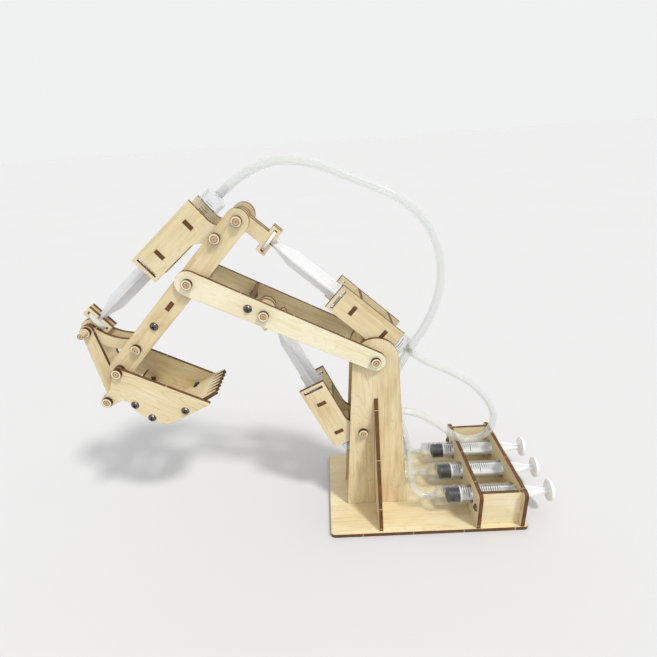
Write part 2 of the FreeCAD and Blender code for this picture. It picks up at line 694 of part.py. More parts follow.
# ---------------------------------------------------------------------- bucket
BUCKET_ANGLE = number(c.bucket_angle)
BUCKET_SCREWS = {"back": (17.4, -19.8, -38.9), "belly": (31.2, -25.2, -2.0),
                 "lip": (51.0, -10.0, 53.2)}


def bucket_outline(sketch):
    """A cheek of the bucket: flat top edge, pointed lip, belly and hinge ear."""
    ear_x, ear_y, top = c.ear_x, c.ear_y, Size.of(3.0)
    add_loop(sketch, [
        (ear_x + 3.05, ear_y - 3.05), (7.4, -20.9, 5.2, -1), (14.2, -20.3, 26.4, 1),
        (42.3, -25.4, 14.0, 1), (48.3, -19.9), (65.1, 2.0, 0.7, 1), (64.6, top),
        (-0.2, top, 3.3, 1), (-3.4, -0.3), (-1.7, -15.0),
        (ear_x - 4.05, ear_y + 1.45, 4.31, 1)])
    add_circle(sketch, 0, 0, c.hole_rad)
    add_circle(sketch, ear_x, ear_y, c.hole_rad)
    for x, y, _ in BUCKET_SCREWS.values():
        add_circle(sketch, x, y, c.bolt_hole)


def bucket_cross(name, behind, ahead, teeth=0):
    """A cross plate of the bucket, from behind its screws to ahead of them."""
    x, y, lean = BUCKET_SCREWS[name]
    edge, behind, ahead = c.bucket_in, Size.of(behind), Size.of(ahead)

    def draw(sketch):
        loop = [(-behind, -edge)]
        loop += tee_slot(lambda along, depth: (Size.of(0) + along, depth - edge))
        loop += [(ahead, -edge)]
        pitch = c.bucket_in * 2 / max(teeth, 1)
        for k in range(teeth):
            start = pitch * k - edge
            loop += [(ahead + 8.4, start + pitch * 0.32), (ahead + 8.4, start + pitch * 0.68)]
            if k < teeth - 1:
                loop += [(ahead, start + pitch * 0.95), (ahead, start + pitch * 1.05)]
        loop += [(ahead, edge)]
        loop += tee_slot(lambda along, depth: (Size.of(0) - along, edge - depth))
        loop += [(-behind, edge)]
        add_loop(sketch, loop)

    angle = BUCKET_ANGLE + lean
    spot = polar(*BUCKET_PIN, x, BUCKET_ANGLE, y)
    base_x, base_z = polar(*spot, 0, angle, -c.ply * 0.5)
    plate("bucket_%s_plate" % name, "XY_Plane", draw, (base_x, 0, base_z), angle)
    return spot, angle


named_pair("bucket", bucket_outline, c.bucket_in, BUCKET_PIN, BUCKET_ANGLE)
bucket_spots = [bucket_cross("back", 8.0, 5.0), bucket_cross("belly", 5.6, 6.6),
                bucket_cross("lip", 14.0, 17.4, teeth=7)]
screws("bucket_bolts", [s[0] for s in bucket_spots], c.bucket_in,
       [s[1] for s in bucket_spots])
pin_set("bucket_pin", [("bucket_ear", BUCKET_EAR, LONG, [AT_BUCKET])])


# ------------------------------------------------------------- rocker and link
def rocker_outline(sketch):
    """A bowed bar of constant width with round ends."""
    span = math.dist(ROCKER_PIN, ROD_PIN)
    half, sag = number(c.rocker_half), number(c.rocker_sag)
    bend = ((span / 2) ** 2 + sag ** 2) / (2 * sag)
    lean = math.asin(span / 2 / bend)
    dx, dy, cap = half * math.sin(lean), half * math.cos(lean), half * 1.002
    add_loop(sketch, [(-dx, dy, bend + half, -1), (span + dx, dy, cap, -1),
                      (span - dx, -dy, bend - half, 1), (dx, -dy, cap, -1)])
    for x in (0, span):
        add_circle(sketch, x, 0, c.hole_rad)


LINK_LONG = math.dist(ROD_PIN, BUCKET_EAR)


def link_outline(sketch):
    add_bar(sketch, LINK_LONG, c.link_half, c.link_foot)
    add_circle(sketch, 0, 0, c.hole_rad)
    add_circle(sketch, LINK_LONG, 0, c.clear_link)


group("rocker_plates", pair("rocker", rocker_outline, c.rocker_in, ROCKER_PIN,
                            heading(ROCKER_PIN, ROD_PIN)))
group("link_plates", pair("link", link_outline, c.link_in, ROD_PIN,
                          heading(ROD_PIN, BUCKET_EAR)))
pin_set("rocker_pin", [("rod", ROD_PIN, SHORT, [AT_ROCKER])])


# -------------------------------------------------------------------- syringes
def barrel(label, at, angle, keep=True):
    """A syringe barrel along +x from the front of its flange, with its nozzle ahead."""
    body = doc.addObject("PartDesign::Body", label + "_body")
    body.Label = label
    profile = new_sketch(body, "XZ_Plane", label + "_profile")
    end = c.barrel_len
    tip = end + c.shoulder + c.nozzle_len
    add_loop(profile, [
        (0, c.bore_rad), (end - 1.0, c.bore_rad), (end + c.shoulder - 1.0, c.nozzle_bore),
        (tip, c.nozzle_bore), (tip, c.nozzle_rad - 0.2), (tip - 1.5, c.nozzle_rad),
        (end + c.shoulder, c.nozzle_rad), (end, c.barrel_rad), (0, c.barrel_rad)])
    turned = body.newObject("PartDesign::Revolution", label + "_turned")
    turned.Profile = profile
    turned.ReferenceAxis = (profile, ["H_Axis"])
    turned.Angle = 360.0
    flange = new_sketch(body, "YZ_Plane", label + "_flange_outline")
    half_long, half_wide = c.flange_long * 0.5, c.flange_wide * 0.5
    corner = c.flange_wide * 0.42
    add_loop(flange, [
        (-half_long + corner, -half_wide), (half_long - corner, -half_wide, 6.6, 1),
        (half_long, 0, 6.6, 1), (half_long - corner, half_wide),
        (-half_long + corner, half_wide, 6.6, 1), (-half_long, 0, 6.6, 1)])
    add_circle(flange, 0, 0, c.bore_rad)
    pad = body.newObject("PartDesign::Pad", label + "_flange")
    pad.Profile = flange
    pad.Reversed = True
    pad.Length = number(c.flange_thick)
    bind(pad, "Length", c.flange_thick)
    set_place(body, at, angle)
    if keep:
        PARTS[label] = body
    return body


def plunger(label, at, angle):
    """A cross-ribbed plunger along +x from the outer face of its thumb disc."""
    body = doc.addObject("PartDesign::Body", label + "_body")
    body.Label = label
    disc_end = c.thumb_thick
    rod_end = disc_end + c.rod_len
    disc = new_sketch(body, "YZ_Plane", label + "_disc_outline")
    add_circle(disc, 0, 0, c.thumb_rad)
    pad = body.newObject("PartDesign::Pad", label + "_disc")
    pad.Profile = disc
    pad.Length = number(disc_end)
    bind(pad, "Length", disc_end)
    neck, wide, taper = c.rod_neck * 0.5, c.rod_wide * 0.5, c.rod_taper
    for role, tag in (("XZ_Plane", "upright"), ("XY_Plane", "level")):
        rib = new_sketch(body, role, "%s_%s_rib" % (label, tag))
        add_loop(rib, [
            (disc_end, -neck), (disc_end + 6.0, -neck), (disc_end + 6.0 + taper, -wide),
            (rod_end, -wide), (rod_end, wide), (disc_end + 6.0 + taper, wide),
            (disc_end + 6.0, neck), (disc_end, neck)])
        pad = body.newObject("PartDesign::Pad", "%s_%s" % (label, tag))
        pad.Profile = rib
        pad.Midplane = True
        pad.Length = number(c.rod_rib)
        bind(pad, "Length", c.rod_rib)
    knob = new_sketch(body, "XZ_Plane", label + "_knob_profile")
    neck_rad = c.seal_rad * 0.4
    add_loop(knob, [
        (rod_end - 1.4, 0), (rod_end + c.seal_len * 0.6, 0),
        (rod_end + c.seal_len * 0.6, neck_rad), (rod_end, neck_rad),
        (rod_end, c.bore_rad - 0.3), (rod_end - 1.4, c.bore_rad - 0.3)])
    turned = body.newObject("PartDesign::Revolution", label + "_knob")
    turned.Profile = knob
    turned.ReferenceAxis = (knob, ["H_Axis"])
    turned.Angle = 360.0
    set_place(body, at, angle)
    PARTS[label] = body


def seal(label, at, angle):
    """A rubber seal with three ribs and a blunt cone, on the end of a plunger."""
    body = doc.addObject("PartDesign::Body", label + "_body")
    body.Label = label
    profile = new_sketch(body, "XZ_Plane", label + "_profile")
    start = c.thumb_thick + c.rod_len
    length, full, waist = c.seal_len, c.seal_rad, c.seal_rad - 0.6
    socket = c.seal_rad * 0.4 + 0.05
    pocket = start + length * 0.6 + 0.05
    add_loop(profile, [
        (start, socket), (pocket, socket), (pocket, 0), (start + length + c.seal_cone, 0),
        (start + length, full), (start + length * 0.8, full),
        (start + length * 0.72, waist), (start + length * 0.6, waist),
        (start + length * 0.52, full), (start + length * 0.4, full),
        (start + length * 0.32, waist), (start + length * 0.24, waist),
        (start + length * 0.16, full), (start, full)])
    turned = body.newObject("PartDesign::Revolution", label + "_turned")
    turned.Profile = profile
    turned.ReferenceAxis = (profile, ["H_Axis"])
    turned.Angle = 360.0
    set_place(body, at, angle)
    PARTS[label] = body


# ------------------------------------------------------------ rams on the arm
def housing_side(side):
    """Outline of a housing side, whose ear is below its barrel for side 1."""
    def flip(points):
        return [(p[0], p[1] * -side) + ((p[2], p[3] * -side) if len(p) > 2 else ())
                for p in points]

    def draw(sketch):
        wide, pin, off = c.house_wide, c.house_pin_at, c.house_pin_off
        ear, end = c.ear_rad, c.house_len
        add_loop(sketch, flip([
            (Size.of(0), Size.of(0)), (end, Size.of(0)), (end, wide - 5.0, 12.0, -1),
            (pin + ear, off - 3.0), (pin + ear, off, ear, 1), (pin - ear, off, 12.2, -1),
            (Size.of(32.0), wide), (Size.of(0), wide)]))
        mid = wide * 0.5
        slots = [box_loop(c.slit_at, mid * -side, c.slit_wide, c.slit_long)]
        for at in (c.frame_one, c.frame_two):
            slots.append(box_loop(at, mid * -side, c.ply + 0.1, c.frame_tab + 0.1))
        for loop in slots:
            add_loop(sketch, loop)
        add_circle(sketch, pin, off * -side, c.hole_rad)

    return draw


def frame_outline(sketch):
    """A square frame round the barrel, with a tab into each housing side."""
    edge, outer, half = c.housing_in - 0.02, c.housing_in + c.ply, c.house_wide * 0.5
    tab = c.frame_tab * 0.5
    add_loop(sketch, [(-edge, -half), (edge, -half), (edge, -tab), (outer, -tab),
                      (outer, tab), (edge, tab), (edge, half), (-edge, half),
                      (-edge, tab), (-outer, tab), (-outer, -tab), (-edge, -tab)])
    add_circle(sketch, 0, 0, c.barrel_rad + 0.1)


def clevis_outline(slot, clear):
    """A cheek of a clevis: an eye, and a head with the slot that grips a thumb disc."""
    def draw(sketch):
        front, back, half = slot + c.clevis_front, slot - c.clevis_back, c.clevis_half
        neck, gap, grip, throat = c.clevis_neck, c.thumb_thick * 0.5 + 0.1, 8.1, 1.2
        eye = number(c.clevis_eye)
        root = Size(math.sqrt(eye ** 2 - number(neck) ** 2),
                    "sqrt(Sheet.clevis_eye ^ 2 - Sheet.clevis_neck ^ 2)")
        add_loop(sketch, [
            (back, -half), (front, -half), (front, -throat), (slot + gap, -throat),
            (slot + gap, -grip), (slot - gap, -grip), (slot - gap, grip),
            (slot + gap, grip), (slot + gap, throat), (front, throat), (front, half),
            (back, half), (back, neck), (root, neck, c.clevis_eye, 1, True),
            (root, -neck), (back, -neck)])
        add_circle(sketch, 0, 0, clear)

    return draw


FRAMES = {}
for name, pivot, rod_pin, side, slot, clear in (
        ("boom", RAM_PIVOT, BOOM_RAM_PIN, -1, c.slot_boom, c.clear_boom),
        ("stick", BOOM_FOOT, STICK_TOP, 1, c.slot_stick, c.clear_stick),
        ("bucket", STICK_HOUSE_PIN, ROD_PIN, 1, c.slot_bucket, c.clear_bucket)):
    corner, back = ram_frame(pivot, rod_pin, side)
    FRAMES[name] = (corner, back, side)
    axis_start = polar(*corner, 0, back, -side * c.house_wide * 0.5)
    group(name + "_housing_sides", pair(name + "_side", housing_side(side), c.housing_in,
                                        corner, back))
    frames = []
    for tag, at in (("one", c.frame_one), ("two", c.frame_two)):
        x, z = polar(*axis_start, at - c.ply * 0.5, back)
        frames.append(plate("%s_frame_%s" % (name, tag), "YZ_Plane", frame_outline,
                            (x, 0, z), back, keep=False))
    group(name + "_housing_frames", frames)
    x, z = polar(*axis_start, c.slit_at + c.flange_thick * 0.5, back)
    barrel(name + "_barrel", (x, 0, z), back)
    thumb = polar(*rod_pin, slot - c.thumb_thick * 0.5, back)
    plunger(name + "_plunger", (thumb[0], 0, thumb[1]), back)
    seal(name + "_seal", (thumb[0], 0, thumb[1]), back)
    group(name + "_clevis", pair(name + "_cheek", clevis_outline(slot, clear), c.cheek_in,
                                 rod_pin, back))
    print("%s ram: mouth corner (%.1f, %.1f), towards its tail at %.2f deg"
          % (name, corner[0], corner[1], back))

# ---------------------------------------------------------------- hand syringes
LANES = (("1", -1), ("2", 0), ("3", 1))
hand_barrels = []
for tag, lane in LANES:
    y = c.syringe_pitch * lane
    hand = barrel("control_barrel_" + tag, (c.flange_x, y, c.syringe_z), 180.0, keep=False)
    hand.Placement = hand.Placement * Placement(Vector(), Rotation(Vector(1, 0, 0), 90))
    hand_barrels.append(hand)
    reach = c.flange_x + 24.9
    plunger("control_plunger_" + tag, (reach, y, c.syringe_z), 180.0)
    seal("control_seal_" + tag, (reach, y, c.syringe_z), 180.0)
group("control_barrels", hand_barrels)

# ----------------------------------------------------------------------- hoses
NOZZLES = {}
for name, (corner, back, side) in FRAMES.items():
    start = polar(*corner, 0, back, -side * c.house_wide * 0.5)
    root = polar(*start, c.slit_at + c.flange_thick * 0.5 + c.barrel_len + c.shoulder, back)
    step = polar(*root, 14.0, back)
    NOZZLES[name] = [(root[0], 0.0, root[1]), (step[0], 0.0, step[1])]
HAND_ROOT = number(c.flange_x - c.barrel_len - c.shoulder)
HAND_Z, PITCH = number(c.syringe_z), number(c.syringe_pitch)

ROUTES = {
    "bucket_hose": NOZZLES["bucket"] + [
        (-59.0, -1.5, 257.5), (-33.0, -3.0, 253.5), (-9.0, -4.5, 242.5),
        (14.0, -6.5, 233.5), (33.5, -9.0, 217.5), (42.5, -10.8, 197.0),
        (43.5, -11.0, 174.0), (36.0, -10.9, 151.0), (22.5, -10.4, 130.5),
        (12.5, -10.2, 110.0), (14.5, -10.2, 88.0), (20.5, -10.3, 68.0),
        (25.2, -13.0, 49.0), (24.5, -22.5, 33.0), (27.7, -PITCH, HAND_Z),
        (HAND_ROOT, -PITCH, HAND_Z)],
    "stick_hose": NOZZLES["stick"] + [
        (52.0, 0.0, 110.5), (75.0, 0.8, 96.0), (91.8, 1.2, 73.0), (91.0, 1.0, 55.5),
        (79.2, 0.8, 46.6), (65.8, 0.6, 47.8), (49.5, 0.3, 62.8), (30.0, 0.0, 76.5),
        (10.0, 0.0, 76.8), (-2.0, 0.0, 65.0), (-2.2, 0.0, 48.0), (4.5, 0.0, 32.5),
        (14.8, 0.0, 21.0), (28.0, 0.0, HAND_Z), (HAND_ROOT, 0.0, HAND_Z)],
    "boom_hose": NOZZLES["boom"] + [
        (-3.5, 4.0, 21.8), (9.5, 9.3, 15.0), (23.0, 8.6, 22.2), (29.3, 14.5, 34.5),
        (23.0, 23.5, 45.0), (11.5, 28.5, 43.5), (6.5, 29.5, 31.5), (12.0, 28.8, 20.3),
        (27.0, PITCH, HAND_Z), (HAND_ROOT, PITCH, HAND_Z)],
}


def rounded_path(points):
    """Straight runs joined by tangent arcs, each as large as its two runs allow."""
    spots = [Vector(*p) for p in points]
    edges, radii, start = [], [], spots[0]
    for before, corner, after in zip(spots, spots[1:], spots[2:]):
        way_in, way_out = (corner - before), (after - corner)
        half_turn = way_in.getAngle(way_out) / 2
        trim = 0.45 * min(way_in.Length, way_out.Length)
        radii.append(trim / math.tan(half_turn))
        way_in.normalize()
        way_out.normalize()
        enter, leave = corner - way_in * trim, corner + way_out * trim
        bisector = (way_out - way_in).normalize()
        middle = corner + bisector * radii[-1] * (1 / math.cos(half_turn) - 1)
        edges += [Part.LineSegment(start, enter).toShape(),
                  Part.Arc(enter, middle, leave).toShape()]
        start = leave
    edges.append(Part.LineSegment(start, spots[-1]).toShape())
    return Part.Wire(edges), radii


def tube(wire, radius):
    start = wire.Edges[0].valueAt(wire.Edges[0].FirstParameter)
    way = wire.Edges[0].tangentAt(wire.Edges[0].FirstParameter)
    rim = Part.Wire(Part.makeCircle(radius, start, way))
    return wire.makePipeShell([rim], True, False)


for name, points in ROUTES.items():
    wire, radii = rounded_path(points)
    outer, bore = number(c.hose_rad), number(c.hose_bore)
    hose = doc.addObject("Part::Feature", name)
    hose.Shape = tube(wire, outer).cut(tube(wire, bore))
    PARTS[name] = hose
    section = math.pi * (outer ** 2 - bore ** 2) * wire.Length
    runs = [math.dist(a, b) for a, b in zip(points, points[1:])]
    print("%s: length %.1f, volume %.0f against %.0f" % (name, wire.Length,
                                                        hose.Shape.Volume, section))
    print("   runs", [round(r, 1) for r in runs], "radii", [round(r, 1) for r in radii])

# --------------------------------------------------------------------- output
doc.recompute()
for obj in doc.Objects:
    if "Invalid" in obj.State or "Error" in obj.State:
        raise RuntimeError("%s did not recompute: %s" % (obj.Name, obj.State))

os.makedirs("parts", exist_ok=True)
for label, obj in PARTS.items():
    shape = obj.Shape
    if shape.isNull() or not shape.isValid() or not shape.Solids:
        raise RuntimeError("%s has no sound shape" % label)
    shape.exportStep("parts/%s.step" % label)
    box = shape.BoundBox
    print("%-24s solids %2d  volume %9.1f  x %.1f..%.1f  y %.1f..%.1f  z %.1f..%.1f" % (
        label, len(shape.Solids), shape.Volume, box.XMin, box.XMax, box.YMin, box.YMax,
        box.ZMin, box.ZMax))
print(len(PARTS), "parts")
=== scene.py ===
import bpy
import math
from mathutils import Matrix, Vector


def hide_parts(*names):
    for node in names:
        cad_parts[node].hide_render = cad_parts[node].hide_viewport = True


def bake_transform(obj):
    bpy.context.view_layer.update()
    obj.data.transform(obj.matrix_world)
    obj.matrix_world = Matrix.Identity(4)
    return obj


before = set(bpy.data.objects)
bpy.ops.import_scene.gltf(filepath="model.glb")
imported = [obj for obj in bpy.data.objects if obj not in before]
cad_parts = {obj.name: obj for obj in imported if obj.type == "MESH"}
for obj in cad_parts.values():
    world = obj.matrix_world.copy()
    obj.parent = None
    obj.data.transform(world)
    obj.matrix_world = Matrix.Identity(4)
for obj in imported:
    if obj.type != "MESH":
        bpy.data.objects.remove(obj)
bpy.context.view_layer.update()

MM = 0.001
scene = bpy.context.scene


# ------------------------------------------------------------ shader helpers
class Graph:
    """Builds one material's nodes; numbers are set on sockets and nodes are linked."""

    def __init__(self, name):
        self.material = bpy.data.materials.new(name)
        self.material.use_nodes = True
        self.tree = self.material.node_tree
        self.tree.nodes.clear()
        self.output = self.tree.nodes.new("ShaderNodeOutputMaterial")

    def feed(self, socket, value):
        if isinstance(value, bpy.types.NodeSocket):
            self.tree.links.new(value, socket)
        elif value is not None:
            socket.default_value = value

    def math(self, operation, a, b=None, c=None, clamp=False):
        node = self.tree.nodes.new("ShaderNodeMath")
        node.operation, node.use_clamp = operation, clamp
        for socket, value in zip(node.inputs, (a, b, c)):
            self.feed(socket, value)
        return node.outputs[0]

    def dot(self, a, b):
        node = self.tree.nodes.new("ShaderNodeVectorMath")
        node.operation = "DOT_PRODUCT"
        self.feed(node.inputs[0], a)
        self.feed(node.inputs[1], b)
        return node.outputs["Value"]

    def vector(self, operation, a, b=None):
        node = self.tree.nodes.new("ShaderNodeVectorMath")
        node.operation = operation
        self.feed(node.inputs[0], a)
        self.feed(node.inputs[1], b)
        return node.outputs["Value" if operation in ("LENGTH", "DISTANCE") else "Vector"]

    def join(self, x, y, z):
        node = self.tree.nodes.new("ShaderNodeCombineXYZ")
        for socket, value in zip(node.inputs, (x, y, z)):
            self.feed(socket, value)
        return node.outputs[0]

    def noise(self, vector, scale=1.0, detail=2.0, rough=0.5, twist=0.0):
        node = self.tree.nodes.new("ShaderNodeTexNoise")
        self.feed(node.inputs["Vector"], vector)
        node.inputs["Scale"].default_value = scale
        node.inputs["Detail"].default_value = detail
        node.inputs["Roughness"].default_value = rough
        node.inputs["Distortion"].default_value = twist
        return node.outputs["Fac"]

    def range(self, value, low, high, to_low=0.0, to_high=1.0):
        node = self.tree.nodes.new("ShaderNodeMapRange")
        node.interpolation_type = "SMOOTHSTEP"
        for socket, number in zip(node.inputs, (value, low, high, to_low, to_high)):
            self.feed(socket, number)
        return node.outputs[0]

    def mix(self, share, a, b):
        node = self.tree.nodes.new("ShaderNodeMix")
        node.data_type = "RGBA"
        self.feed(node.inputs["Factor"], share)
        self.feed(node.inputs["A"], a)
        self.feed(node.inputs["B"], b)
        return node.outputs["Result"]

    def bump(self, height, strength, distance):
        node = self.tree.nodes.new("ShaderNodeBump")
        node.inputs["Strength"].default_value = strength
        node.inputs["Distance"].default_value = distance
        self.feed(node.inputs["Height"], height)
        return node.outputs[0]

    def bevel_edge(self, radius):
        """Nearness to a sharp edge, from 0 on a flat to 1 on the edge."""
        bevel = self.tree.nodes.new("ShaderNodeBevel")
        bevel.samples = 4
        bevel.inputs["Radius"].default_value = radius
        shape = self.tree.nodes.new("ShaderNodeNewGeometry")
        return self.math("SUBTRACT", 1.0, self.dot(bevel.outputs[0], shape.outputs["Normal"]))

    def place(self):
        coords = self.tree.nodes.new("ShaderNodeTexCoord")
        spot = self.vector("SCALE", coords.outputs["Object"])
        spot.node.inputs["Scale"].default_value = 1000.0
        return spot, coords.outputs["Normal"]

    def principled(self, **values):
        node = self.tree.nodes.new("ShaderNodeBsdfPrincipled")
        for key, value in values.items():
            self.feed(node.inputs[key.replace("_", " ")], value)
        return node.outputs[0]

    def blend_shaders(self, share, first, second):
        node = self.tree.nodes.new("ShaderNodeMixShader")
        self.feed(node.inputs[0], share)
        self.feed(node.inputs[1], first)
        self.feed(node.inputs[2], second)
        return node.outputs[0]

    def see_through(self, front, rim, colour, rough, normal):
        """Thin clear or milky plastic: front and rim are how solid it looks each way."""
        facing = self.tree.nodes.new("ShaderNodeLayerWeight")
        facing.inputs["Blend"].default_value = 0.5
        cover = self.range(facing.outputs["Facing"], 0.25, 0.98, front, rim)
        passing = self.tree.nodes.new("ShaderNodeBsdfTransparent")
        passing.inputs["Color"].default_value = (0.985, 0.99, 0.99, 1.0)
        body = self.principled(Base_Color=colour, Roughness=rough, IOR=1.48, Normal=normal)
        shine = self.tree.nodes.new("ShaderNodeBsdfGlossy")
        shine.inputs["Roughness"].default_value = 0.09
        self.feed(shine.inputs["Normal"], normal)
        plain = self.blend_shaders(cover, passing.outputs[0], body)
        glint = self.range(facing.outputs["Facing"], 0.40, 1.0, 0.012, 0.26)
        return self.blend_shaders(glint, plain, shine.outputs[0])

    def surface(self, shader):
        self.tree.links.new(shader, self.output.inputs["Surface"])
        return self.material


def rgb(r, g, b):
    return (r, g, b, 1.0)


def unit(angle):
    """A direction in the arm's plane, in degrees up from +X."""
    turn = math.radians(angle)
    return Vector((math.cos(turn), 0.0, math.sin(turn)))


# ------------------------------------------------------------------- plywood
PALE, CREAM, GOLD = rgb(0.83, 0.775, 0.565), rgb(0.735, 0.620, 0.385), rgb(0.545, 0.405, 0.205)
STREAK = rgb(0.40, 0.27, 0.115)
CHAR, TOAST, BARE = rgb(0.016, 0.006, 0.003), rgb(0.078, 0.029, 0.010), rgb(0.58, 0.40, 0.20)


def plywood(name, normal, grain, seed=0.0, tone=0.5, figure=0.5):
    """Laser-cut birch plywood: grained faces across normal and scorched edges."""
    g = Graph(name)
    normal, grain = Vector(normal).normalized(), Vector(grain).normalized()
    across = normal.cross(grain)
    spot, way = g.place()
    along, side = g.dot(spot, tuple(grain)), g.dot(spot, tuple(across))
    through = g.dot(spot, tuple(normal))
    shift = seed * 37.3

    def stretched(along_scale, side_scale):
        return g.join(g.math("MULTIPLY_ADD", along, along_scale, shift),
                      g.math("MULTIPLY_ADD", side, side_scale, shift * 1.7),
                      g.math("MULTIPLY", through, 0.05))

    streaks = g.noise(stretched(0.020, 0.55), detail=5.0, rough=0.62, twist=0.4)
    fibres = g.noise(stretched(0.10, 3.4), detail=4.0, rough=0.65)
    pores = g.noise(stretched(0.45, 6.0), detail=1.0)
    flecks = g.noise(stretched(0.35, 1.6), detail=2.0, rough=0.7)
    clouds = g.noise(stretched(0.018, 0.045), detail=4.0, rough=0.6)
    arches = g.noise(stretched(0.009, 0.060), detail=1.5, twist=0.9)
    rings = g.math("ABSOLUTE", g.math("SINE", g.math("MULTIPLY", arches, 42.0)))
    rings = g.math("MULTIPLY", g.range(rings, 0.0, 0.42, 1.0, 0.0), figure)
    depth = g.math("MULTIPLY_ADD", g.range(clouds, 0.34, 0.68), 0.34, tone - 0.28)
    depth = g.math("MULTIPLY_ADD", g.range(streaks, 0.34, 0.68), 0.24, depth, clamp=True)
    wood = g.mix(g.range(depth, 0.0, 0.5), PALE, CREAM)
    wood = g.mix(g.range(depth, 0.45, 1.0), wood, GOLD)
    wood = g.mix(g.math("MULTIPLY", g.range(fibres, 0.50, 0.78), 0.26), wood, STREAK)
    wood = g.mix(g.math("MULTIPLY", g.range(fibres, 0.26, 0.48, 1.0, 0.0), 0.35), wood, PALE)
    wood = g.mix(g.math("MULTIPLY", rings, 0.34), wood, STREAK)
    wood = g.mix(g.math("MULTIPLY", g.range(pores, 0.64, 0.78), 0.40), wood, STREAK)
    wood = g.mix(g.math("MULTIPLY", g.range(flecks, 0.66, 0.80), 0.30), wood,
                 rgb(0.31, 0.17, 0.06))
    border = g.bevel_edge(0.00055)
    uneven = g.noise(spot, scale=0.55, detail=3.0, rough=0.6)
    soot = g.math("MULTIPLY", g.range(border, 0.004, 0.20),
                  g.range(uneven, 0.25, 0.70, 0.30, 1.0))
    wood = g.mix(soot, wood, rgb(0.135, 0.052, 0.018))
    haze = g.math("MULTIPLY", g.range(uneven, 0.50, 0.78), 0.16)
    wood = g.mix(haze, wood, GOLD)

    flat = g.vector("SUBTRACT", spot, g.join(*[g.math("MULTIPLY", through, k)
                                               for k in normal]))
    lines = g.noise(flat, scale=2.2, detail=3.0, rough=0.65)
    broad = g.noise(flat, scale=0.10, detail=2.0)
    edge = g.mix(g.range(lines, 0.30, 0.72), CHAR, TOAST)
    edge = g.mix(g.math("MULTIPLY", g.range(broad, 0.40, 0.70), 0.60), edge,
                 rgb(0.150, 0.060, 0.020))
    core = g.range(border, 0.0, 0.045, 1.0, 0.0)
    edge = g.mix(g.math("MULTIPLY", core, 0.45), edge, rgb(0.20, 0.092, 0.034))
    edge = g.mix(g.math("MULTIPLY", g.range(border, 0.03, 0.22), 0.75), edge, CHAR)
    run = g.tree.nodes.new("ShaderNodeVectorMath")
    run.operation = "CROSS_PRODUCT"
    g.feed(run.inputs[0], way)
    g.feed(run.inputs[1], tuple(normal))
    tangent = g.dot(spot, run.outputs["Vector"])
    part = g.math("FRACT", g.math("MULTIPLY_ADD", tangent, 1 / 37.0, seed * 0.43 + 50.0))
    bridge = g.range(g.math("ABSOLUTE", g.math("SUBTRACT", part, 0.5)), 0.005, 0.010, 1.0, 0.0)
    edge = g.mix(g.math("MULTIPLY", bridge, 0.85), edge, BARE)

    on_face = g.range(g.math("ABSOLUTE", g.dot(way, tuple(normal))), 0.70, 0.72)
    colour = g.mix(on_face, edge, wood)
    relief = g.math("MULTIPLY_ADD", fibres, 0.6, g.math("MULTIPLY", pores, -0.5))
    relief = g.math("ADD", relief, g.math("MULTIPLY", lines, 0.4))
    gloss = g.math("MULTIPLY_ADD", fibres, 0.18, 0.46)
    return g.surface(g.principled(
        Base_Color=colour, Roughness=gloss,
        Specular_IOR_Level=0.22,
        Normal=g.bump(relief, 0.30, 0.00022)))


# ------------------------------------------------------------- pins and rings
def pins(name, axes, seed=0.0):
    """Wooden dowels across the arm, with plywood rings; axes are (x, z) in mm."""
    g = Graph(name)
    spot, way = g.place()
    flat = g.vector("MULTIPLY", spot, (1.0, 0.0, 1.0))
    nearest = None
    for x, z in axes:
        reach = g.vector("DISTANCE", flat, (x, 0.0, z))
        nearest = reach if nearest is None else g.math("MINIMUM", nearest, reach)
    along = g.join(g.dot(spot, (4.0, 0.0, 0.0)), g.dot(spot, (0.0, 0.07, 0.0)),
                   g.dot(spot, (0.0, 0.0, 4.0)))
    fibres = g.noise(along, detail=3.0)
    speck = g.noise(spot, scale=2.4 + seed, detail=3.0)
    dowel_side = g.mix(g.range(fibres, 0.35, 0.75), rgb(0.70, 0.56, 0.34), rgb(0.42, 0.27, 0.12))
    end_rings = g.math("ABSOLUTE", g.math("SINE", g.math("MULTIPLY", nearest, 5.2)))
    end = g.mix(g.math("MULTIPLY", end_rings, 0.6), rgb(0.66, 0.50, 0.30), rgb(0.40, 0.25, 0.12))
    end = g.mix(g.range(speck, 0.52, 0.70), end, rgb(0.30, 0.165, 0.07))
    end = g.mix(g.math("MAXIMUM", g.range(nearest, 1.55, 1.95), g.range(nearest, 0.25, 0.75, 1.0, 0.0)),
                end, rgb(0.13, 0.055, 0.022))
    ring_grain = g.noise(g.vector("MULTIPLY", spot, (0.25, 1.0, 1.9)), scale=1.0 + seed * 0.1,
                         detail=3.0)
    ring_face = g.mix(g.range(ring_grain, 0.35, 0.70), PALE, CREAM)
    soot = g.math("MAXIMUM", g.range(nearest, 2.9, 3.4), g.range(nearest, 2.0, 2.45, 1.0, 0.0))
    ring_face = g.mix(g.math("MULTIPLY", soot, 0.92), ring_face, rgb(0.10, 0.038, 0.014))
    lines = g.noise(g.vector("MULTIPLY", spot, (1.0, 0.1, 1.0)), scale=2.6)
    rim = g.mix(g.range(lines, 0.32, 0.72), CHAR, TOAST)
    end_on = g.range(g.math("ABSOLUTE", g.dot(way, (0.0, 1.0, 0.0))), 0.70, 0.72)
    faces = g.mix(g.range(nearest, 1.98, 2.02), end, ring_face)
    sides = g.mix(g.range(nearest, 2.5, 2.6), dowel_side, rim)
    colour = g.mix(end_on, sides, faces)
    return g.surface(g.principled(
        Base_Color=colour, Roughness=0.55, Specular_IOR_Level=0.3,
        Normal=g.bump(g.math("ADD", fibres, lines), 0.3, 0.0002)))


